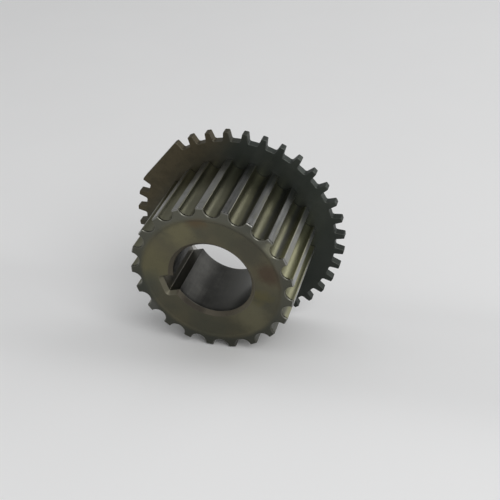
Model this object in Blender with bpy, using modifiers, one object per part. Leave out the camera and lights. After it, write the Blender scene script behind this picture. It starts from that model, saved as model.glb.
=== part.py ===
"""Crankshaft timing belt pulley: a sintered toothed body and the signal ring pressed on its rear spigot.

Both pieces share one axis, the world Y axis. The small, toothed end faces -Y and the ring end faces +Y.
The origin is on that axis, halfway along the two pieces.
Angles turn from +X towards +Z, as seen from the toothed end.
"""

import math

import bmesh
import bpy

MM = 0.001

# Belt teeth: 21 round-bottomed grooves at a belt pitch of 9.525 mm.
TOOTH_COUNT = 21
BELT_PITCH = 9.525 * MM
PITCH_LINE_ABOVE_TIP = 0.685 * MM
TIP_RADIUS = TOOTH_COUNT * BELT_PITCH / (2 * math.pi) - PITCH_LINE_ABOVE_TIP
GROOVE_DEPTH = 3.33 * MM
GROOVE_RADIUS = 3.07 * MM
GROOVE_LIP = 0.40 * MM
TOOTH_ANGLE = math.radians(5.1)

# Body, measured along the axis from the front face.
TOOTHED_LENGTH = 34.16 * MM
FIT_GAP = 0.3 * MM
FRONT_STEP_DEPTH = 0.4 * MM
FRONT_STEP_INSIDE_GROOVES = 1.3 * MM
OUTER_CHAMFER = 0.4 * MM

# Bore and keyway.
BORE_RADIUS = 15.0 * MM
BORE_CHAMFER = 1.85 * MM
BORE_LENGTH = 28.9 * MM
KEYWAY_WIDTH = 6.4 * MM
KEYWAY_DEPTH = 4.0 * MM
KEYWAY_CORNER = 0.5 * MM
KEYWAY_TOOTH = 11

# Rear recess and the spigot that carries the ring.
RECESS_WALL = 3.3 * MM
SPIGOT_WALL = 2.2 * MM
SPIGOT_STANDS_PROUD = 0.4 * MM
RECESS_FILLET = 1.0 * MM

# Signal ring: 36 positions. Two of them are missing, and a flat is cut there.
RING_POSITIONS = 36
RING_TIP_RADIUS = 42.2 * MM
RING_TOOTH_HEIGHT = 3.6 * MM
RING_THICKNESS = 3.2 * MM
RING_TIP_HALF_ANGLE = math.radians(1.32)
RING_ROOT_HALF_ANGLE = math.radians(2.24)
RING_CORNER = 0.35 * MM
RING_ROOT_FILLET = 0.7 * MM
RING_FLAT_HALF_ANGLE = math.radians(14.9)
RING_FLAT_ANGLE = math.radians(135.9)

# Fineness of the round surfaces.
TURN_STEPS = TOOTH_COUNT * 6
GROOVE_STEPS = 14
CORNER_STEPS = 3
SHARP_ANGLE = math.radians(35)
WELD = 0.001 * MM

# Sizes that follow from the ones above.
OVERALL_LENGTH = TOOTHED_LENGTH + FIT_GAP + RING_THICKNESS + SPIGOT_STANDS_PROUD
FRONT = OVERALL_LENGTH / 2
GROOVE_BOTTOM_RADIUS = TIP_RADIUS - GROOVE_DEPTH
FRONT_STEP_RADIUS = GROOVE_BOTTOM_RADIUS - FRONT_STEP_INSIDE_GROOVES
RECESS_RADIUS = GROOVE_BOTTOM_RADIUS - RECESS_WALL
SPIGOT_RADIUS = RECESS_RADIUS + SPIGOT_WALL
RING_BORE_RADIUS = SPIGOT_RADIUS + FIT_GAP
RING_ROOT_RADIUS = RING_TIP_RADIUS - RING_TOOTH_HEIGHT
TOOTH_STEP = 2 * math.pi / TOOTH_COUNT
RING_STEP = 2 * math.pi / RING_POSITIONS
KEYWAY_ANGLE = TOOTH_ANGLE + KEYWAY_TOOTH * TOOTH_STEP
CUT_PAST = 2 * MM


def polar(radius, angle):
    return (radius * math.cos(angle), radius * math.sin(angle))


def arc(radius, start, end, steps):
    """Points on a circle about the axis, both ends included."""
    return [polar(radius, start + (end - start) * i / steps) for i in range(steps + 1)]


def rounded(corners):
    """A closed outline from (point, fillet radius) pairs, with each corner that has a radius replaced by an arc."""
    outline = []
    for i, (corner, radius) in enumerate(corners):
        if radius == 0:
            outline.append(corner)
            continue
        before, after = corners[i - 1][0], corners[(i + 1) % len(corners)][0]
        ways = []
        for other in (before, after):
            run = math.dist(corner, other)
            ways.append(((other[0] - corner[0]) / run, (other[1] - corner[1]) / run))
        half = math.acos(ways[0][0] * ways[1][0] + ways[0][1] * ways[1][1]) / 2
        back = radius / math.tan(half)
        middle = (ways[0][0] + ways[1][0], ways[0][1] + ways[1][1])
        scale = radius / math.sin(half) / math.hypot(*middle)
        centre = (corner[0] + middle[0] * scale, corner[1] + middle[1] * scale)
        first, last = [
            math.atan2(corner[1] + way[1] * back - centre[1], corner[0] + way[0] * back - centre[0])
            for way in ways
        ]
        sweep = (last - first + math.pi) % (2 * math.pi) - math.pi
        for step in range(CORNER_STEPS + 1):
            angle = first + sweep * step / CORNER_STEPS
            outline.append((centre[0] + radius * math.cos(angle), centre[1] + radius * math.sin(angle)))
    return outline


def material(name, colour, roughness, metallic):
    made = bpy.data.materials.new(name)
    made.use_nodes = True
    shader = made.node_tree.nodes["Principled BSDF"]
    shader.inputs["Base Color"].default_value = (*colour, 1)
    shader.inputs["Roughness"].default_value = roughness
    shader.inputs["Metallic"].default_value = metallic
    return made


def stand_on_y(thing):
    """Lays the local Z axis along world -Y, so that the toothed end faces -Y and local Y points up."""
    thing.rotation_euler = (math.pi / 2, 0, 0)


def shade(mesh):
    """Round faces smooth, and an edge that turns sharply left sharp."""
    mesh.shade_smooth()
    mesh.set_sharp_from_angle(angle=SHARP_ANGLE)


def turned(name, profile, collection):
    """A round piece from a closed (radius, height) profile that starts down the outer side."""
    mesh = bpy.data.meshes.new(name)
    points = [(radius, 0, height) for radius, height in profile]
    edges = [(i, (i + 1) % len(points)) for i in range(len(points))]
    mesh.from_pydata(points, edges, [])
    thing = bpy.data.objects.new(name, mesh)
    collection.objects.link(thing)
    screw = thing.modifiers.new("turn", "SCREW")
    screw.axis = "Z"
    screw.angle = 2 * math.pi
    screw.steps = TURN_STEPS
    screw.render_steps = TURN_STEPS
    screw.use_merge_vertices = True
    screw.merge_threshold = WELD
    bpy.context.view_layer.update()
    graph = bpy.context.evaluated_depsgraph_get()
    thing.data = bpy.data.meshes.new_from_object(thing.evaluated_get(graph))
    thing.data.name = name
    thing.modifiers.clear()
    shade(thing.data)
    stand_on_y(thing)
    return thing


def prism(name, outlines, top, bottom, collection):
    """Flat outlines filled and extruded between two heights along the axis, as a mesh."""
    curve = bpy.data.curves.new(name, "CURVE")
    curve.dimensions = "2D"
    curve.fill_mode = "BOTH"
    curve.extrude = (top - bottom) / 2
    for outline in outlines:
        spline = curve.splines.new("POLY")
        spline.points.add(len(outline) - 1)
        for point, (x, y) in zip(spline.points, outline):
            point.co = (x, y, 0, 1)
        spline.use_cyclic_u = True
    flat = bpy.data.objects.new(name + "_outline", curve)
    collection.objects.link(flat)
    bpy.context.view_layer.update()
    graph = bpy.context.evaluated_depsgraph_get()
    mesh = bpy.data.meshes.new_from_object(flat.evaluated_get(graph))
    bpy.data.objects.remove(flat)
    mesh.name = name
    thing = bpy.data.objects.new(name, mesh)
    collection.objects.link(thing)
    lift = (top + bottom) / 2
    for vertex in mesh.vertices:
        vertex.co.z += lift
    welded = bmesh.new()
    welded.from_mesh(mesh)
    bmesh.ops.remove_doubles(welded, verts=welded.verts, dist=WELD)
    bmesh.ops.recalc_face_normals(welded, faces=welded.faces)
    welded.to_mesh(mesh)
    welded.free()
    shade(mesh)
    stand_on_y(thing)
    return thing


def cut(thing, cutter):
    boolean = thing.modifiers.new("cut " + cutter.name, "BOOLEAN")
    boolean.operation = "DIFFERENCE"
    boolean.solver = "EXACT"
    boolean.object = cutter
    cutter.hide_render = True
    cutter.display_type = "WIRE"


for old in list(bpy.data.objects):
    bpy.data.objects.remove(old, do_unlink=True)
for old in list(bpy.data.collections):
    bpy.data.collections.remove(old)

parts = bpy.data.collections.new("timing_belt_pulley")
cutters = bpy.data.collections.new("cutters")
bpy.context.scene.collection.children.link(parts)
bpy.context.scene.collection.children.link(cutters)
cutters.hide_render = True

# The body blank is turned in one piece: toothed drum, spigot, stepped front face, bore and rear recess.
shoulder = FRONT - TOOTHED_LENGTH
seat = FRONT - BORE_LENGTH
web = FRONT - FRONT_STEP_DEPTH
fillet = [
    (
        RECESS_RADIUS - RECESS_FILLET * (1 - math.cos(math.radians(turn))),
        seat - RECESS_FILLET * (1 - math.sin(math.radians(turn))),
    )
    for turn in (0, 30, 60, 90)
]
body_profile = [
    (TIP_RADIUS - OUTER_CHAMFER, FRONT),
    (TIP_RADIUS, FRONT - OUTER_CHAMFER),
    (TIP_RADIUS, shoulder),
    (SPIGOT_RADIUS, shoulder),
    (SPIGOT_RADIUS, -FRONT + OUTER_CHAMFER),
    (SPIGOT_RADIUS - OUTER_CHAMFER, -FRONT),
    (RECESS_RADIUS + OUTER_CHAMFER, -FRONT),
    (RECESS_RADIUS, -FRONT + OUTER_CHAMFER),
    *fillet,
    (BORE_RADIUS + OUTER_CHAMFER, seat),
    (BORE_RADIUS, seat + OUTER_CHAMFER),
    (BORE_RADIUS, FRONT - BORE_CHAMFER),
    (BORE_RADIUS + BORE_CHAMFER - FRONT_STEP_DEPTH, web),
    (FRONT_STEP_RADIUS - FRONT_STEP_DEPTH, web),
    (FRONT_STEP_RADIUS, FRONT),
]
body = turned("pulley_body", body_profile, parts)
body.data.materials.append(material("oxidised_sintered_steel", (0.16, 0.155, 0.125), 0.42, 0.85))

# Each belt groove is a half round whose middle lies just under the tooth tips, with a small lip each side.
groove_middle = TIP_RADIUS - GROOVE_DEPTH + GROOVE_RADIUS
lip_depth = TIP_RADIUS - GROOVE_LIP
lip_start = math.asin((groove_middle - lip_depth) / GROOVE_RADIUS) if groove_middle > lip_depth else 0
groove_outline = [(TIP_RADIUS + CUT_PAST, -GROOVE_RADIUS - GROOVE_LIP - CUT_PAST)]
groove_outline += [(lip_depth, -GROOVE_RADIUS * math.cos(lip_start))]
for step in range(1, GROOVE_STEPS):
    turn = math.pi + lip_start + (math.pi - 2 * lip_start) * step / GROOVE_STEPS
    groove_outline.append(
        (groove_middle + GROOVE_RADIUS * math.sin(turn), GROOVE_RADIUS * math.cos(turn))
    )
groove_outline += [(lip_depth, GROOVE_RADIUS * math.cos(lip_start))]
groove_outline += [(TIP_RADIUS + CUT_PAST, GROOVE_RADIUS + GROOVE_LIP + CUT_PAST)]
grooves = []
for tooth in range(TOOTH_COUNT):
    turn = TOOTH_ANGLE + (tooth + 0.5) * TOOTH_STEP
    grooves.append(
        [
            (x * math.cos(turn) - y * math.sin(turn), x * math.sin(turn) + y * math.cos(turn))
            for x, y in groove_outline
        ]
    )
groove_cutter = prism("belt_groove_cutter", grooves, FRONT + CUT_PAST, shoulder - CUT_PAST / 4, cutters)
cut(body, groove_cutter)

# The keyway runs the whole length of the bore, square to the tooth it points at, with eased bottom corners.
keyway_floor = BORE_RADIUS + KEYWAY_DEPTH
keyway_corners = [
    ((BORE_RADIUS / 2, -KEYWAY_WIDTH / 2), 0),
    ((keyway_floor, -KEYWAY_WIDTH / 2), KEYWAY_CORNER),
    ((keyway_floor, KEYWAY_WIDTH / 2), KEYWAY_CORNER),
    ((BORE_RADIUS / 2, KEYWAY_WIDTH / 2), 0),
]
keyway_outline = [
    (
        x * math.cos(KEYWAY_ANGLE) - y * math.sin(KEYWAY_ANGLE),
        x * math.sin(KEYWAY_ANGLE) + y * math.cos(KEYWAY_ANGLE),
    )
    for x, y in rounded(keyway_corners)
]
keyway_cutter = prism("keyway_cutter", [keyway_outline], FRONT + CUT_PAST, seat - CUT_PAST, cutters)
cut(body, keyway_cutter)

# The signal ring is a flat plate with small square teeth, and its flat runs between two half teeth.
ring_corners = []
ring_teeth = range(RING_POSITIONS - 4)
first_tooth = RING_FLAT_ANGLE + 2.5 * RING_STEP
half_tooth = RING_FLAT_ANGLE + 1.5 * RING_STEP
ring_corners.append((polar(RING_TIP_RADIUS, RING_FLAT_ANGLE + RING_FLAT_HALF_ANGLE), 0))
ring_corners.append((polar(RING_TIP_RADIUS, half_tooth + RING_TIP_HALF_ANGLE), RING_CORNER))
ring_corners.append((polar(RING_ROOT_RADIUS, half_tooth + RING_ROOT_HALF_ANGLE), RING_ROOT_FILLET))
for tooth in ring_teeth:
    middle = first_tooth + tooth * RING_STEP
    root = polar(RING_ROOT_RADIUS, middle - RING_ROOT_HALF_ANGLE)
    ring_corners.append((polar(RING_ROOT_RADIUS, middle - RING_STEP / 2), 0))
    ring_corners.append((root, RING_ROOT_FILLET))
    ring_corners.append((polar(RING_TIP_RADIUS, middle - RING_TIP_HALF_ANGLE), RING_CORNER))
    ring_corners.append((polar(RING_TIP_RADIUS, middle + RING_TIP_HALF_ANGLE), RING_CORNER))
    ring_corners.append((polar(RING_ROOT_RADIUS, middle + RING_ROOT_HALF_ANGLE), RING_ROOT_FILLET))
half_tooth = RING_FLAT_ANGLE - 1.5 * RING_STEP
ring_corners.append((polar(RING_ROOT_RADIUS, half_tooth - RING_STEP / 2), 0))
ring_corners.append((polar(RING_ROOT_RADIUS, half_tooth - RING_ROOT_HALF_ANGLE), RING_ROOT_FILLET))
ring_corners.append((polar(RING_TIP_RADIUS, half_tooth - RING_TIP_HALF_ANGLE), RING_CORNER))
ring_corners.append((polar(RING_TIP_RADIUS, RING_FLAT_ANGLE - RING_FLAT_HALF_ANGLE), 0))
ring_hole = arc(RING_BORE_RADIUS, 0, 2 * math.pi, TURN_STEPS)[:-1]
ring_top = shoulder - FIT_GAP
ring = prism("signal_ring", [rounded(ring_corners), ring_hole], ring_top, ring_top - RING_THICKNESS, parts)
ring.data.materials.append(material("dark_ring_steel", (0.075, 0.078, 0.066), 0.48, 0.8))
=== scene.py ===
"""A crankshaft timing belt pulley: a dark sintered drum, with the toothed signal ring pressed on behind it."""

import math

import bpy
import numpy as np
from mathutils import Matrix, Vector


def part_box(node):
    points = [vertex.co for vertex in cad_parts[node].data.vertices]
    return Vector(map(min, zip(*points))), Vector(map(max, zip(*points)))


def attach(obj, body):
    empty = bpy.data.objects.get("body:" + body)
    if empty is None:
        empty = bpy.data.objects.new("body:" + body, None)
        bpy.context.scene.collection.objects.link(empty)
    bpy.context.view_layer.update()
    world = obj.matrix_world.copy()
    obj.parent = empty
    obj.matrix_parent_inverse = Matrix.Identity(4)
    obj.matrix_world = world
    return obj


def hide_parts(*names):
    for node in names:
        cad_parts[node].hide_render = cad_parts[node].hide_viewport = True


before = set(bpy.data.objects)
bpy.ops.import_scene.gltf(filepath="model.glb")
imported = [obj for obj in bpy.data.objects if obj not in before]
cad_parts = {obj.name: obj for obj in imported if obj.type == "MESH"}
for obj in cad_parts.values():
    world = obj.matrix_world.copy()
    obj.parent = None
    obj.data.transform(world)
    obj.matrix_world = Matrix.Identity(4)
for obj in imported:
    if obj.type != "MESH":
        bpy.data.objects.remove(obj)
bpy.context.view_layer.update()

# ---------------------------------------------------------------------------------------------------
# Toothed drum: one piece of sintered steel, pressed to shape from powder and steam treated. It has
# 21 round-bottomed belt grooves, a keyed bore, a shallow step on its front face, and at the back a
# deep recess inside the spigot that the ring sits on. Every edge is rounded as a pressing comes out.

MM = 0.001
drum_low, drum_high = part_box("pulley_body")
ring_low, ring_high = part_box("signal_ring")
DRUM_FRONT = drum_low[1]
DRUM_LENGTH = drum_high[1] - drum_low[1]
TIP_RADIUS = min(drum_high[0], -drum_low[0], drum_high[2], -drum_low[2])
JOINT_LINE = 0.05 * MM  # what shows of the press fit between shoulder and ring
TOOTHED_LENGTH = ring_low[1] - DRUM_FRONT - JOINT_LINE

GROOVES = 21
GROOVE_RADIUS = 3.07 * MM
GROOVE_DEPTH = 3.33 * MM
LIP_RADIUS = 0.45 * MM
KEYED_TOOTH = math.radians(5.1) + 11 * 2 * math.pi / GROOVES
FRONT_ROUND, BACK_ROUND = 0.42 * MM, 0.12 * MM
STEP_RADIUS = 26.5 * MM
STEP_DEPTH = 0.4 * MM
STEP_SLOPE = 1.5 * MM
BORE_RADIUS = 15.0 * MM
BORE_CHAMFER = 1.45 * MM
BORE_END = 28.9 * MM
BACK_EASE = 0.4 * MM
KEY_CHAMFER = 1.4 * MM
KEY_HALF_WIDTH = 3.2 * MM
KEY_FLOOR = 19.0 * MM
KEY_CORNER = 0.25 * MM
KEY_MOUTH = 0.12 * MM  # the fine rounding where the keyway breaks into the bore
KEY_FAN = 21.3 * MM  # a circle just past the keyway, where the face's rings start
RECESS_RADIUS = 24.5 * MM
RECESS_FILLET = 1.0 * MM
SPIGOT_RADIUS = 26.95 * MM
SPIGOT_ROUND = 0.4 * MM
HOLD = 0.1 * MM  # how far from a rounded edge the next section holds the flat beside it
BORE_HOLD = 0.12 * MM

# One pitch runs land, lip and half a groove, then the same again mirrored.
LAND_STEPS, LIP_STEPS, HALF_GROOVE_STEPS = 3, 6, 11


def groove_edge():
    """Points, outward normals and wear of one pitch of the drum, from the middle of a land to the next."""
    middle = TIP_RADIUS - GROOVE_DEPTH + GROOVE_RADIUS
    reach = GROOVE_RADIUS + LIP_RADIUS
    inner = TIP_RADIUS - LIP_RADIUS
    lip_x = (inner**2 + middle**2 - reach**2) / (2 * middle)
    lip_y = -math.sqrt(inner**2 - lip_x**2)
    lip_turn = math.atan2(lip_y, lip_x)
    wall_turn = math.atan2(-lip_y, middle - lip_x)
    half_pitch = math.pi / GROOVES
    places, normals, worn = [], [], []
    for i in range(LAND_STEPS):
        turn = -half_pitch + (lip_turn + half_pitch) * i / LAND_STEPS
        places.append((TIP_RADIUS * math.cos(turn), TIP_RADIUS * math.sin(turn)))
        normals.append((math.cos(turn), math.sin(turn)))
        worn.append(0.25)
    for i in range(LIP_STEPS):
        turn = lip_turn + (wall_turn - lip_turn) * i / LIP_STEPS
        normals.append((math.cos(turn), math.sin(turn)))
        places.append((lip_x + LIP_RADIUS * math.cos(turn), lip_y + LIP_RADIUS * math.sin(turn)))
        worn.append(1.0 if 0 < i < LIP_STEPS - 1 else 0.6)
    for i in range(HALF_GROOVE_STEPS + 1):
        turn = wall_turn * (1 - i / HALF_GROOVE_STEPS)
        normals.append((math.cos(turn), math.sin(turn)))
        places.append((middle - GROOVE_RADIUS * math.cos(turn), -GROOVE_RADIUS * math.sin(turn)))
        worn.append(0.0)
    mirror = range(len(places) - 2, 0, -1)
    places += [(places[i][0], -places[i][1]) for i in mirror]
    normals += [(normals[i][0], -normals[i][1]) for i in mirror]
    worn += [worn[i] for i in mirror]
    return np.array(places), np.array(normals), np.array(worn)


def turned(pairs, angle):
    """Pairs of coordinates turned about the axis."""
    c, s = math.cos(angle), math.sin(angle)
    return pairs @ np.array([[c, s], [-s, c]])


def all_round(pairs, copies, start):
    """The same pairs at each pitch about the axis, the first one centred half a pitch after start."""
    return np.concatenate([turned(pairs, start + (i + 0.5) * 2 * math.pi / copies) for i in range(copies)])


edge_places, edge_normals, edge_worn = groove_edge()
drum_outline = all_round(edge_places, GROOVES, KEYED_TOOTH)
drum_normals = all_round(edge_normals, GROOVES, KEYED_TOOTH)
drum_worn = np.tile(edge_worn, GROOVES)
drum_angles = np.unwrap(np.arctan2(drum_outline[:, 1], drum_outline[:, 0]))
# 0 at the clockwise wall of a groove and 1 at the other. The finish paints shade on the clockwise wall.
pull_side = np.arctan2(edge_places[:, 1], edge_places[:, 0]) * TIP_RADIUS / GROOVE_RADIUS
drum_pull = np.tile(np.clip(0.5 + 0.5 * pull_side, 0, 1), GROOVES)
drum_land = np.tile((np.hypot(*edge_places.T) > TIP_RADIUS - 0.05 * MM).astype(float), GROOVES)
columns = len(drum_outline)


def circle(radius, angles):
    return np.stack([radius * np.cos(angles), radius * np.sin(angles)], axis=1)


def bore_outline(outward, key_outward):
    """The keyed bore, grown outward by the width of a chamfer, with as many points as the drum's outline.

    The second value is how far each point belongs to the keyway: 1 on its floor, falling to 0 at its mouth.
    """
    radius, half, floor = BORE_RADIUS + outward, KEY_HALF_WIDTH + key_outward, KEY_FLOOR + key_outward
    corner = KEY_CORNER + key_outward
    mouth_x = math.sqrt((radius + KEY_MOUTH) ** 2 - (half + KEY_MOUTH) ** 2)
    mouth_turn = math.atan2(half + KEY_MOUTH, mouth_x)
    half_way = [(floor, (half - corner) * i / 5, 1.0) for i in range(5)]
    for i in range(5):
        turn = math.pi / 2 * i / 4
        half_way.append((floor - corner + corner * math.cos(turn), half - corner + corner * math.sin(turn), 1.0))
    for i in range(1, 8):
        half_way.append((floor - corner + (mouth_x - floor + corner) * i / 8, half, 1 - i / 8))
    for i in range(5):
        turn = -math.pi / 2 - (math.pi / 2 - mouth_turn) * i / 4
        half_way.append((mouth_x + KEY_MOUTH * math.cos(turn), half + KEY_MOUTH + KEY_MOUTH * math.sin(turn), 0.0))
    round_turns = np.linspace(mouth_turn, 2 * math.pi - mouth_turn, columns - 2 * len(half_way) + 3)[1:-1]
    whole = half_way + [(radius * math.cos(turn), radius * math.sin(turn), 0.0) for turn in round_turns]
    whole = np.array(whole + [(x, -y, share) for x, y, share in half_way[:0:-1]])
    return turned(whole[:, :2], KEYED_TOOTH), whole[:, 2]


def bore_fan(radius):
    """A circle whose points stand straight out from the keyed bore's, so that faces between them never cross."""
    keyed, _ = bore_outline(BORE_HOLD, KEY_CHAMFER)
    return circle(radius, np.unwrap(np.arctan2(keyed[:, 1], keyed[:, 0])))


def bend(start, end, centre, radius, steps=4):
    """Radius and depth along a rounded edge of a turned profile, between two directions in degrees."""
    turns = [math.radians(start + (end - start) * i / steps) for i in range(steps + 1)]
    return [(centre[0] + radius * math.cos(t), centre[1] + radius * math.sin(t)) for t in turns]


# Each section is an outline, its depths from the piece's front, and its marks, which the finishes read.
MARKS = ("worn", "land", "pull", "bore", "key")
sections = []


def section(outline, depth, **marks):
    values = [depth] + [marks.get(mark, 0.0) for mark in MARKS]
    sections.append((outline, *(np.broadcast_to(value, columns) for value in values)))


def bore_section(depth, outward=0.0, key_outward=0.0, key_depth=None, worn=0.0, bore=1.0, key=1.0):
    outline, share = bore_outline(outward, key_outward)
    key_depth = depth if key_depth is None else key_depth
    marks = {"worn": worn, "bore": bore, "key": key * share**0.3}
    section(outline, depth + (key_depth - depth) * share, **marks)


# Front rim, rounded over the whole groove outline, then the drum's length, then the back rim.
for i in range(6):
    turn = math.pi / 2 * i / 5
    inset = FRONT_ROUND * (1 - math.sin(turn))
    section(
        drum_outline - drum_normals * inset,
        FRONT_ROUND * (1 - math.cos(turn)),
        worn=np.maximum(drum_worn, 0.95 if 0 < i < 5 else 0.55),
        land=drum_land,
        pull=drum_pull,
    )
for share in (0.012, 0.03, 0.08, 0.16, 0.25, 0.35, 0.45, 0.55, 0.65, 0.75, 0.84, 0.92, 0.97, 0.992):
    section(drum_outline, TOOTHED_LENGTH * share, worn=drum_worn, land=drum_land, pull=drum_pull)
for i in range(3):
    turn = math.pi / 2 * i / 2
    inset = BACK_ROUND * (1 - math.cos(turn))
    depth = TOOTHED_LENGTH - BACK_ROUND * (1 - math.sin(turn))
    section(drum_outline - drum_normals * inset, depth, land=drum_land)

# Shoulder, spigot, rear annulus, recess and the seat for the crankshaft's shoulder, as radius and depth.
spigot_middle = SPIGOT_RADIUS - SPIGOT_ROUND
recess_middle = RECESS_RADIUS + SPIGOT_ROUND
round_depth = DRUM_LENGTH - SPIGOT_ROUND
profile = [
    (SPIGOT_RADIUS + 0.25 * MM, TOOTHED_LENGTH),
    (SPIGOT_RADIUS, TOOTHED_LENGTH),
    (SPIGOT_RADIUS, TOOTHED_LENGTH + HOLD),
    (SPIGOT_RADIUS, round_depth - HOLD),
    *bend(0, 90, (spigot_middle, round_depth), SPIGOT_ROUND),
    (spigot_middle - HOLD, DRUM_LENGTH),
    (recess_middle + HOLD, DRUM_LENGTH),
    *bend(90, 180, (recess_middle, round_depth), SPIGOT_ROUND),
    (RECESS_RADIUS, round_depth - HOLD),
    (RECESS_RADIUS, BORE_END + RECESS_FILLET + 0.2 * MM),
    *bend(0, -90, (RECESS_RADIUS - RECESS_FILLET, BORE_END + RECESS_FILLET), RECESS_FILLET, 6),
    (RECESS_RADIUS - RECESS_FILLET - 0.2 * MM, BORE_END),
    (RECESS_RADIUS - 2.5 * MM, BORE_END),
]
for radius, depth in profile:
    at_back_edge = abs(radius - RECESS_RADIUS) < 0.5 * MM and depth > DRUM_LENGTH - 0.3 * MM
    section(circle(radius, drum_angles), depth, worn=0.5 if at_back_edge else 0.0)

# The bore and keyway from the back: an eased back edge, the walls, and a wide chamfer all round the mouth.
section(bore_fan(KEY_FAN), BORE_END)
bore_section(BORE_END, BACK_EASE + BORE_HOLD, BACK_EASE + BORE_HOLD, bore=0.0, key=0.0)
bore_section(BORE_END - 0.02 * MM, BACK_EASE, BACK_EASE, worn=0.4, bore=0.0)
bore_section(BORE_END - BACK_EASE + 0.03 * MM, 0.03 * MM, 0.03 * MM, worn=0.4, bore=0.5)
bore_section(BORE_END - BACK_EASE - BORE_HOLD)
bore_front, key_front = STEP_DEPTH + BORE_CHAMFER, STEP_DEPTH + KEY_CHAMFER
bore_back = BORE_END - BACK_EASE
for share in (0.06, 0.2, 0.35, 0.5, 0.65, 0.8, 0.94):
    key_depth = bore_back + (key_front - bore_back) * share
    bore_section(bore_back + (bore_front - bore_back) * share, key_depth=key_depth)
bore_section(bore_front + BORE_HOLD, key_depth=key_front + BORE_HOLD)
CHAMFER_STEPS = (  # share of the chamfer, wear, and how far the bore's finish reaches
    (0.02, 0.6, 0.7),
    (0.1, 0.2, 0.0),
    (0.5, 0.0, 0.0),
    (0.92, 0.2, 0.0),
    (0.98, 0.5, 0.0),
    (1.0, 0.4, 0.0),
)
for share, worn, bore in CHAMFER_STEPS:
    out, key_out = BORE_CHAMFER * share, KEY_CHAMFER * share
    bore_section(bore_front - out, out, key_out, key_depth=key_front - key_out, worn=worn, bore=bore)
bore_section(STEP_DEPTH, BORE_CHAMFER + BORE_HOLD, KEY_CHAMFER + BORE_HOLD, bore=0.0, key=0.0)

# The front web, the step up to the toothed band, and the band itself back to the front rim.
section(bore_fan(KEY_FAN), STEP_DEPTH)
section(circle(STEP_RADIUS - STEP_SLOPE - 1.5 * MM, drum_angles), STEP_DEPTH)
for share in (-0.1, 0.0, 0.12, 0.3, 0.5, 0.7, 0.88, 1.0, 1.1, 1.36):
    rise = 0.5 - 0.5 * math.cos(math.pi * min(max(share, 0), 1))
    section(circle(STEP_RADIUS + STEP_SLOPE * (share - 1), drum_angles), STEP_DEPTH * (1 - rise))
section(drum_outline - drum_normals * (FRONT_ROUND + 0.025 * MM), 0.0, worn=0.1)


def ring_mesh(name, rows, front):
    """A closed piece from sections that run once round its profile, with the marks kept as point attributes."""
    count, wide = len(rows), len(rows[0][0])
    places = np.empty((count * wide, 3))
    for i, (outline, depth, *_) in enumerate(rows):
        places[i * wide : (i + 1) * wide] = np.stack([outline[:, 0], front + depth, outline[:, 1]], axis=1)
    here = np.arange(wide)
    ahead = (here + 1) % wide
    quads = []
    for i in range(count):
        j = (i + 1) % count
        quads.append(np.stack([i * wide + here, i * wide + ahead, j * wide + ahead, j * wide + here], axis=1))
    quads = np.concatenate(quads)
    mesh = bpy.data.meshes.new(name)
    mesh.from_pydata(places.tolist(), [], quads.tolist())
    corners = places[quads]
    volume = np.einsum("ij,ij->", corners[:, 0], np.cross(corners[:, 1], corners[:, 2]))
    volume += np.einsum("ij,ij->", corners[:, 0], np.cross(corners[:, 2], corners[:, 3]))
    if volume < 0:
        mesh.flip_normals()
    for column, mark in enumerate(MARKS):
        layer = mesh.attributes.new(mark, "FLOAT", "POINT")
        layer.data.foreach_set("value", np.concatenate([row[2 + column] for row in rows]).astype(np.float32))
    mesh.shade_smooth()
    piece = bpy.data.objects.new(name, mesh)
    bpy.context.scene.collection.objects.link(piece)
    return piece


drum = ring_mesh("toothed_drum", sections, DRUM_FRONT)


class Wire:
    """A socket in a material. Arithmetic on it adds Math nodes, and add() puts in any other node."""

    def __init__(self, tree, socket=None):
        self.tree, self.socket = tree, socket

    def add(self, kind, settings=None, sockets=None, output=0):
        node = self.tree.nodes.new("ShaderNode" + kind)
        for name, value in (settings or {}).items():
            setattr(node, name, value)
        for name, value in (sockets or {}).items():
            if isinstance(value, Wire):
                self.tree.links.new(value.socket, node.inputs[name])
            else:
                node.inputs[name].default_value = value
        return Wire(self.tree, node.outputs[output])

    def math(self, operation, first, second):
        return self.add("Math", {"operation": operation}, {0: first, 1: second})

    def __add__(self, other):
        return self.math("ADD", self, other)

    def __radd__(self, other):
        return self.math("ADD", other, self)

    def __sub__(self, other):
        return self.math("SUBTRACT", self, other)

    def __rsub__(self, other):
        return self.math("SUBTRACT", other, self)

    def __mul__(self, other):
        return self.math("MULTIPLY", self, other)

    def __rmul__(self, other):
        return self.math("MULTIPLY", other, self)

    def __pow__(self, other):
        return self.math("POWER", self, other)

    def __rpow__(self, other):
        return self.math("POWER", other, self)

    def between(self, low, high):
        """0 on the low side and 1 on the high side, with a smooth step between. low may be the larger number."""
        return self.add("MapRange", {"interpolation_type": "SMOOTHSTEP"}, {0: self, 1: low, 2: high})

    def colours(self, low, high):
        """Two colours mixed by this value."""
        return self.add("Mix", {"data_type": "RGBA"}, {0: self, 6: rgba(low), 7: rgba(high)}, output=2)

    def noise(self, place, size, detail, rough, squash=None):
        """Cloudy noise whose lumps are about size across. squash divides the size along X, Y and Z."""
        if squash is not None:
            place = self.add("VectorMath", {"operation": "MULTIPLY"}, {0: place, 1: squash})
        sockets = {"Vector": place, "Scale": 1 / size, "Detail": detail, "Roughness": rough}
        return self.add("TexNoise", None, sockets)

    def mark(self, name):
        """One of the marks that the mesh carries at its points."""
        return self.add("Attribute", {"attribute_name": name}, output="Fac")

    def axes(self):
        """The X, Y and Z of this place."""
        parts = self.add("SeparateXYZ", None, {0: self}).socket.node
        return [Wire(self.tree, parts.outputs[axis]) for axis in "XYZ"]


def rgba(colour):
    return colour if isinstance(colour, Wire) else (*colour, 1.0)


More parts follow.
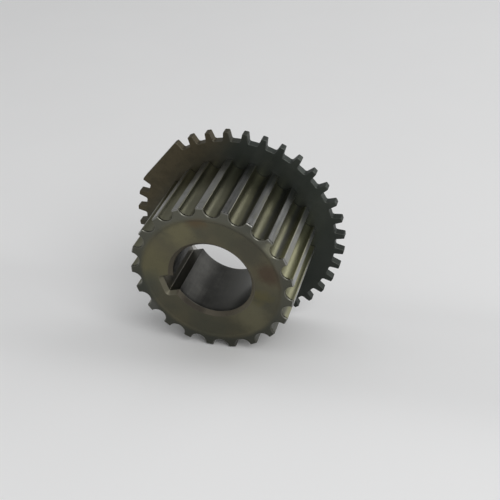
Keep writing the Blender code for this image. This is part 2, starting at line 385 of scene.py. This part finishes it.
def new_finish(name):
    """A material, its Principled shader, and a wire to start its other nodes from."""
    finish = bpy.data.materials.new(name)
    finish.use_nodes = True
    return finish, finish.node_tree.nodes["Principled BSDF"], Wire(finish.node_tree)


def coat_metal(piece, finish, shader, skin, shine, bump):
    """Bare or oxidised metal: links what varies over the surface and puts the finish on the piece."""
    for socket, value in (("Base Color", skin), ("Roughness", shine), ("Normal", bump)):
        finish.node_tree.links.new(value.socket, shader.inputs[socket])
    shader.inputs["Metallic"].default_value = 1.0
    piece.data.materials.append(finish)


# Steam oxide over sintered steel: olive brown inside the step and greyer outside it, with straw, red and
# dark clouds where it cooled unevenly. The belt rubs the lands to plain grey, and the edges show steel.
drum_finish, shader, wire = new_finish("steam_oxidised_sinter")
place = wire.add("TexCoord", output="Object")
worn_mark, land_mark, pull_mark, bore_mark, key_mark = (wire.mark(name) for name in MARKS)
across, along, up = place.axes()
from_axis = (across * across + up * up) ** 0.5
on_face = along.between(DRUM_FRONT + 1.2 * MM, DRUM_FRONT + 0.5 * MM)

clouds = wire.noise(place, 17 * MM, 3.0, 0.5)
small_clouds = wire.noise(place, 5.5 * MM, 4.0, 0.6)
speckle = wire.noise(place, 0.5 * MM, 3.0, 0.7)
streaks = wire.noise(place, 0.7 * MM, 3.0, 0.6, squash=(1.0, 0.03, 1.0))
pits = wire.add("TexVoronoi", {"feature": "F1"}, {"Vector": place, "Scale": 1 / (0.75 * MM)})
cloud_drift = small_clouds - 0.5


def cloud_at(x, z, size):
    """1 at a spot on the front face, in millimetres, fading to 0 at about size from it, with an uneven border."""
    away = ((across - x * MM) * (across - x * MM) + (up - z * MM) * (up - z * MM)) ** 0.5
    return (away + 9 * MM * cloud_drift).between(size * MM, 0.25 * size * MM)


# The clouds of the web: where each one is, its size, its strength and its colour.
WEB_CLOUDS = (
    (-21, 5, 13, 0.8, (0.145, 0.134, 0.078)),  # straw
    (-9, 19, 9, 0.8, (0.165, 0.152, 0.09)),
    (14, -15, 10, 0.8, (0.165, 0.155, 0.1)),
    (19, -5, 5, 0.7, (0.125, 0.112, 0.055)),
    (22, 5, 7, 0.8, (0.082, 0.058, 0.042)),  # red brown
    (-2.5, 25, 4.5, 0.7, (0.115, 0.082, 0.048)),
    (8, 20, 8, 0.6, (0.082, 0.082, 0.06)),  # dark
    (-3, -22, 12, 0.6, (0.082, 0.084, 0.066)),
    (16, 15, 9, 0.75, (0.075, 0.072, 0.056)),
    (-24, -4, 7, 0.5, (0.066, 0.074, 0.064)),
)
olive = clouds.between(0.36, 0.62).colours((0.09, 0.087, 0.064), (0.115, 0.106, 0.072))
for x, z, size, share, colour in WEB_CLOUDS:
    olive = (cloud_at(x, z, size) * share).colours(olive, colour)

# The toothed band outside the step is greyer, with painted light making it lighter toward the upper right.
BAND_CLOUDS = (
    (17, 25, 6, 0.4, (0.055, 0.057, 0.05)),
    (28, 2, 7, 0.4, (0.055, 0.055, 0.045)),
    (24.5, 16, 4.5, 0.8, (0.24, 0.235, 0.17)),
    (-26, -14.5, 4.5, 0.7, (0.13, 0.13, 0.118)),
)
band_painted_light = (across * 0.5 + up).between(-16 * MM, 26 * MM)
on_band = on_face * (from_axis + 1.2 * MM * cloud_drift).between(25.4 * MM, 27.6 * MM)
olive = (on_band * 0.85).colours(olive, band_painted_light.colours((0.06, 0.063, 0.054), (0.118, 0.118, 0.096)))
for x, z, size, share, colour in BAND_CLOUDS:
    olive = (on_band * cloud_at(x, z, size) * share).colours(olive, colour)

# Grooves: polished warm by the belt, with painted shade making them duller at the left, a painted highlight at the
# far right, and painted shade, nearly black, on the clockwise wall of each groove.
around = (1.0 - on_face) * from_axis.between(27.2 * MM, 27.7 * MM)
warm = around * (0.6 + 0.4 * clouds.between(0.4, 0.6))
olive = warm.colours(olive, (0.235, 0.23, 0.15))
olive = (around * across.between(12 * MM, 0.0) * 0.45).colours(olive, (0.12, 0.12, 0.095))
olive = (around * across.between(25.5 * MM, 27.5 * MM) * 0.4).colours(olive, (0.36, 0.355, 0.22))
# Painted shade, nearly black, on the clockwise wall of each groove, except at the far right.
painted_shade_wall = (pull_mark + 0.2 * cloud_drift).between(0.36, 0.16) * across.between(28 * MM, 25 * MM)
olive = (around * painted_shade_wall * 0.85).colours(olive, (0.085, 0.086, 0.082))

# Lands: grey, drawn lengthwise by the belt, lighter toward the left, and lighter at the right with a painted
# highlight.
land_wear_and_sheen = (streaks * 0.5 + small_clouds * 0.5).between(0.38, 0.66).colours((0.1, 0.102, 0.1), (0.175, 0.175, 0.17))
land_wear_and_sheen = (across.between(8 * MM, 0.0) * 0.65).colours(land_wear_and_sheen, (0.36, 0.36, 0.34))
# Painted highlight: the lands lighter toward the right.
land_wear_and_sheen = (across.between(25.0 * MM, 30.5 * MM) * 0.95).colours(land_wear_and_sheen, (0.37, 0.37, 0.36))
rubbed_share = land_mark * (0.7 + 0.3 * small_clouds.between(0.35, 0.6))
skin = rubbed_share.colours(olive, land_wear_and_sheen)

# The chamfer of the bore is brown, with painted shade at the lower left, and painted light making it a lighter
# olive toward the right.
off_bore = 1.0 - bore_mark
chamfer = off_bore * from_axis.between(16.7 * MM, 16.3 * MM)
key_chamfer = off_bore * key_mark
skin = (chamfer * 0.8).colours(skin, (0.118, 0.104, 0.083))
skin = (chamfer * cloud_at(-9, -13, 9) * 0.8).colours(skin, (0.035, 0.031, 0.026))
skin = (chamfer * across.between(4 * MM, 13 * MM) * 0.6).colours(skin, (0.235, 0.215, 0.16))
skin = (key_chamfer * 0.7).colours(skin, (0.2, 0.187, 0.142))

# Bore and keyway: dull grey, with painted light making the bore lighter at the right, and the oxide of the face
# reaching into the keyway, with painted light lightening the keyway's floor near its mouth.
bored = (streaks * 0.25 + small_clouds * 0.75).between(0.35, 0.7)
bored = bored.colours((0.047, 0.0465, 0.0435), (0.078, 0.077, 0.071))
# Painted light: the bore lighter at the right.
bored = (across.between(-8 * MM, 9 * MM) * 0.8).colours(bored, (0.138, 0.138, 0.128))
skin = bore_mark.colours(skin, bored)
skin = (key_mark * bore_mark * 0.8).colours(skin, (0.1, 0.099, 0.083))
key_floor = key_mark.between(0.95, 1.0) * bore_mark
key_mouth = along.between(DRUM_FRONT + 7 * MM, DRUM_FRONT + 3 * MM)
skin = (key_floor * 0.8).colours(skin, (0.13, 0.124, 0.108))
# Painted light: the keyway's floor lighter near its mouth.
skin = (key_floor * key_mouth * 0.5).colours(skin, (0.24, 0.22, 0.165))

# The recess at the back is turned after the oxide, so it is bright. Worn edges and open pores come last.
past_bore = along.between(DRUM_FRONT + BORE_END - 0.3 * MM, DRUM_FRONT + BORE_END)
turned_bright = past_bore * from_axis.between(25 * MM, 24.7 * MM)
skin = turned_bright.colours(skin, (0.34, 0.335, 0.32))
bright_edge = (worn_mark * (0.35 + 1.1 * (small_clouds * 0.5 + speckle * 0.5))).between(0.6, 1.05)
skin = (bright_edge * 0.5).colours(skin, (0.26, 0.255, 0.225))
open_pore = (1.0 - pits.between(0.1, 0.26)) * speckle.between(0.45, 0.62)
skin = (open_pore * 0.55 * (1.0 - 0.5 * bore_mark)).colours(skin, (0.03, 0.03, 0.026))
shine = 0.37 - 0.02 * rubbed_share - 0.06 * bright_edge + 0.14 * (speckle - 0.5) + 0.16 * cloud_drift
shine = shine + 0.3 * (chamfer + key_chamfer)
relief = speckle * 0.35 - open_pore * 0.9 + streaks * land_mark * 0.35 + streaks * bore_mark * 0.25
bump = wire.add("Bump", None, {"Height": relief, "Strength": 0.5, "Distance": 0.05 * MM})
coat_metal(drum, drum_finish, shader, skin, shine, bump)
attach(drum, "root")
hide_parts("pulley_body")

# ---------------------------------------------------------------------------------------------------
# Signal ring: a flat plate of dark oxidised steel, pressed on the drum's spigot. It has small square
# teeth at 36 places. Two teeth are missing, and there a flat is cut between two half teeth.

RING_FRONT = ring_low[1]
RING_THICK = ring_high[1] - ring_low[1]
RING_TIP = min(ring_high[0], -ring_low[0], ring_high[2], -ring_low[2])
RING_ROOT = RING_TIP - 3.6 * MM
RING_HOLE = SPIGOT_RADIUS + 0.04 * MM
RING_PLACES = 36
RING_STEP = 2 * math.pi / RING_PLACES
RING_FLAT = math.radians(135.9)
FLAT_HALF = math.radians(14.9)
TIP_HALF, ROOT_HALF = math.radians(1.32), math.radians(2.24)
TIP_ROUND, ROOT_ROUND, FLAT_ROUND = 0.42 * MM, 0.8 * MM, 0.3 * MM
RING_ROUND = 0.22 * MM
RING_HOLD = 0.08 * MM
HOLE_EASE = 0.3 * MM
STRAIGHT = 0.12  # a corner that turns less than this, in radians, is only a point along a curve


def eased(corners):
    """Points, outward normals and wear of a closed outline with corners (place, radius, steps), anticlockwise."""
    places, normals, worn = [], [], []
    for i, (corner, radius, steps) in enumerate(corners):
        corner = np.array(corner)
        back, on = np.array(corners[i - 1][0]) - corner, np.array(corners[(i + 1) % len(corners)][0]) - corner
        back, on = back / np.hypot(*back), on / np.hypot(*on)
        out = [np.array((-back[1], back[0])), np.array((on[1], -on[0]))]
        turn = [math.atan2(n[1], n[0]) for n in out]
        sweep = (turn[1] - turn[0] + math.pi) % (2 * math.pi) - math.pi
        if abs(sweep) < STRAIGHT:
            middle = turn[0] + sweep / 2
            places.append(corner)
            normals.append((math.cos(middle), math.sin(middle)))
            worn.append(0.0)
            continue
        bulge = 1 if sweep > 0 else -1
        centre = corner - bulge * radius * (out[0] + out[1]) / (1 + out[0] @ out[1])
        for step in range(steps + 1):
            angle = turn[0] + sweep * step / steps
            normal = np.array((math.cos(angle), math.sin(angle)))
            places.append(centre + bulge * radius * normal)
            normals.append(normal)
            worn.append(0.9 if bulge > 0 else 0.0)
    return np.array(places), np.array(normals), np.array(worn)


def polar(radius, turn):
    return (radius * math.cos(turn), radius * math.sin(turn))


def tooth_side(middle, side):
    """The root and tip corners of one flank of a ring tooth."""
    return [
        (polar(RING_ROOT, middle + side * ROOT_HALF), ROOT_ROUND, 5),
        (polar(RING_TIP, middle + side * TIP_HALF), TIP_ROUND, 6),
    ]


corners = [(polar(RING_TIP, RING_FLAT + FLAT_HALF), FLAT_ROUND, 6)]
corners += tooth_side(RING_FLAT + 1.5 * RING_STEP, 1)[::-1]
for tooth in range(RING_PLACES - 4):
    middle = RING_FLAT + (tooth + 2.5) * RING_STEP
    corners.append((polar(RING_ROOT, middle - RING_STEP / 2), 0, 0))
    corners += tooth_side(middle, -1)
    corners.append((polar(RING_TIP, middle), 0, 0))
    corners += tooth_side(middle, 1)[::-1]
corners.append((polar(RING_ROOT, RING_FLAT - 2 * RING_STEP), 0, 0))
corners += tooth_side(RING_FLAT - 1.5 * RING_STEP, -1)
corners.append((polar(RING_TIP, RING_FLAT - FLAT_HALF), FLAT_ROUND, 6))
ring_outline, ring_normals, ring_worn = eased(corners)
ring_angles = np.unwrap(np.arctan2(ring_outline[:, 1], ring_outline[:, 0]))

# From the rounded front edge over the rim to the rounded back edge, then in, through the hole and out again.
columns = len(ring_outline)
sections = []
for i in range(5):
    turn = math.pi / 2 * i / 4
    inset = RING_ROUND * (1 - math.sin(turn))
    depth = RING_ROUND * (1 - math.cos(turn))
    section(ring_outline - ring_normals * inset, depth, worn=0.8 if 0 < i < 4 else 0.3)
for share in (0.1, 0.35, 0.65, 0.9):
    section(ring_outline, RING_THICK * share, worn=ring_worn * 0.6)
for i in range(5):
    turn = math.pi / 2 * i / 4
    inset = RING_ROUND * (1 - math.cos(turn))
    depth = RING_THICK - RING_ROUND * (1 - math.sin(turn))
    section(ring_outline - ring_normals * inset, depth, worn=0.8 if 0 < i < 4 else 0.3)
plate_outline = ring_outline - ring_normals * (RING_ROUND + RING_HOLD)
section(plate_outline, RING_THICK)
ring_profile = (
    (RING_ROOT - 1.2 * MM, RING_THICK),
    (RING_HOLE + 2.0 * MM, RING_THICK),
    (RING_HOLE + HOLE_EASE + RING_HOLD, RING_THICK),
    (RING_HOLE + HOLE_EASE, RING_THICK),
    (RING_HOLE, RING_THICK - HOLE_EASE),
    (RING_HOLE, RING_THICK - HOLE_EASE - RING_HOLD),
    (RING_HOLE, HOLE_EASE),
    (RING_HOLE, 0.1 * MM),
    (RING_HOLE + 0.1 * MM, 0),
    (RING_HOLE + 0.3 * MM, 0),
    (RING_HOLE + 4.0 * MM, 0),
    (RING_ROOT - 1.2 * MM, 0),
)
for radius, depth in ring_profile:
    section(circle(radius, ring_angles), depth)
section(plate_outline, 0.0)
ring = ring_mesh("signal_ring_plate", sections, RING_FRONT)

# The same steam oxide, darker and greener, with painted shade toward the lower right, a brown cloud beside the
# flat and fine turning marks.
ring_finish, shader, wire = new_finish("dark_oxidised_plate")
place = wire.add("TexCoord", output="Object")
worn_mark = wire.mark("worn")
clouds = wire.noise(place, 14 * MM, 3.0, 0.5)
small_clouds = wire.noise(place, 4.5 * MM, 4.0, 0.6)
speckle = wire.noise(place, 0.45 * MM, 3.0, 0.7)
pits = wire.add("TexVoronoi", {"feature": "F1"}, {"Vector": place, "Scale": 1 / (0.9 * MM)})
across, along, up = place.axes()
from_axis = (across * across + up * up) ** 0.5
toward_flat = across * math.cos(RING_FLAT) + up * math.sin(RING_FLAT)
brown_share = (toward_flat + 12 * MM * (clouds - 0.5)).between(18 * MM, 36 * MM)
brown = small_clouds.between(0.35, 0.65).colours((0.075, 0.062, 0.038), (0.1, 0.082, 0.05))
cut_wave = from_axis * (2 * math.pi / (0.42 * MM)) + small_clouds * 5.0
turning = wire.add("Math", {"operation": "SINE"}, {0: cut_wave})
plate = clouds.between(0.35, 0.65).colours((0.065, 0.073, 0.066), (0.095, 0.103, 0.093))
# Painted shade: the plate darker toward the lower right.
plate = ((across - up).between(5 * MM, 45 * MM) * 0.8).colours(plate, (0.042, 0.047, 0.042))
plate = (brown_share * 0.9).colours(plate, brown)
bright_edge = (worn_mark * (0.45 + 0.9 * (small_clouds * 0.5 + speckle * 0.5))).between(0.4, 0.95)
plate = (bright_edge * 0.35).colours(plate, (0.17, 0.17, 0.155))
open_pore = (1.0 - pits.between(0.1, 0.24)) * speckle.between(0.45, 0.62)
plate = (open_pore * 0.5).colours(plate, (0.018, 0.018, 0.015))
shine = 0.52 - 0.1 * bright_edge + 0.14 * (speckle - 0.5) + 0.14 * (small_clouds - 0.5)
relief = speckle * 0.35 - open_pore * 0.8 + turning * 0.12
bump = wire.add("Bump", None, {"Height": relief, "Strength": 0.45, "Distance": 0.05 * MM})
coat_metal(ring, ring_finish, shader, plate, shine, bump)
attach(ring, "root")
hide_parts("signal_ring")

# ---------------------------------------------------------------------------------------------------
# Floor: a plain pale paper sweep. The pulley leans on its front teeth and on the ring's teeth, so the
# floor slopes under it by the angle between the two and levels out before and behind it.

FLOOR_HALF = 1.6
SLOPED_HALF, LEVELLING = 30 * MM, 22 * MM
FINE_FROM, FINE_TO = 0.15, 0.16  # the closely spaced rows stop at one, the wide ones start at the other
front_rest = (DRUM_FRONT + 0.1 * MM, -TIP_RADIUS + 0.12 * MM)
ring_rest = (RING_FRONT + 0.2 * MM, -RING_TIP)
slope = (ring_rest[1] - front_rest[1]) / (ring_rest[0] - front_rest[0])
floor_y = np.concatenate(
    [
        np.linspace(-FLOOR_HALF, -FINE_TO, 24),
        np.linspace(-FINE_FROM, FINE_FROM, 121),
        np.linspace(FINE_TO, FLOOR_HALF, 24),
    ]
)
run = np.abs(floor_y)
eased_run = np.where(run < SLOPED_HALF, run, SLOPED_HALF + LEVELLING * np.tanh((run - SLOPED_HALF) / LEVELLING))
floor_z = front_rest[1] + slope * (np.sign(floor_y) * eased_run - front_rest[0]) - 0.05 * MM
floor_x = np.linspace(-FLOOR_HALF, FLOOR_HALF, 3)
floor_places = [(x, y, z) for y, z in zip(floor_y, floor_z) for x in floor_x]
wide = len(floor_x)
floor_faces = [
    (j * wide + i, j * wide + i + 1, (j + 1) * wide + i + 1, (j + 1) * wide + i)
    for j in range(len(floor_y) - 1)
    for i in range(wide - 1)
]
floor_mesh = bpy.data.meshes.new("studio_floor")
floor_mesh.from_pydata(floor_places, [], floor_faces)
floor_mesh.shade_smooth()
floor = bpy.data.objects.new("studio_floor", floor_mesh)
bpy.context.scene.collection.objects.link(floor)
floor_finish, shader, wire = new_finish("pale_paper")
place = wire.add("TexCoord", output="Object")
paper = wire.noise(place, 60 * MM, 2.0, 0.5).colours((0.85, 0.85, 0.85), (0.87, 0.87, 0.87))
floor_finish.node_tree.links.new(paper.socket, shader.inputs["Base Color"])
shader.inputs["Roughness"].default_value = 0.75
shader.inputs["Specular IOR Level"].default_value = 0.2
floor.data.materials.append(floor_finish)

# ---------------------------------------------------------------------------------------------------
# Studio light: a pale tent all round, a soft panel low at the right and behind, which lights the lands
# and the right-facing groove walls, and a large soft panel high at the front right.

world = bpy.data.worlds.new("studio_tent")
bpy.context.scene.world = world
world.use_nodes = True
tent = world.node_tree.nodes["Background"]
tent.inputs["Color"].default_value = (0.9, 0.905, 0.91, 1)
tent.inputs["Strength"].default_value = 0.52


def panel(name, place, size, watts):
    """A rectangular soft light that faces the pulley."""
    light = bpy.data.lights.new(name, "AREA")
    light.shape = "RECTANGLE"
    light.size, light.size_y = size
    light.energy = watts
    stand = bpy.data.objects.new(name, light)
    stand.location = place
    stand.rotation_euler = (-Vector(place)).to_track_quat("-Z", "Y").to_euler()
    bpy.context.scene.collection.objects.link(stand)


panel("right_back_panel", (0.85, 1.1, 0.42), (1.0, 0.75), 2.6)
panel("front_key_panel", (0.95, -0.85, 1.1), (1.0, 1.0), 16)

# ---------------------------------------------------------------------------------------------------
# Camera: low at the right of the toothed end, looking down on the front face and into the bore.

CAMERA_TURN = (55.334, 5.142, 16.323)
camera_data = bpy.data.cameras.new("studio_camera")
camera_data.sensor_width = 36
camera_data.lens = 57.4
camera_data.clip_start = 0.01
camera = bpy.data.objects.new("studio_camera", camera_data)
camera.location = (93.03 * MM, -231.17 * MM, 170.7 * MM)
camera.rotation_euler = [math.radians(turn) for turn in CAMERA_TURN]
bpy.context.scene.collection.objects.link(camera)
bpy.context.scene.camera = camera
bpy.context.scene.view_settings.view_transform = "Standard"
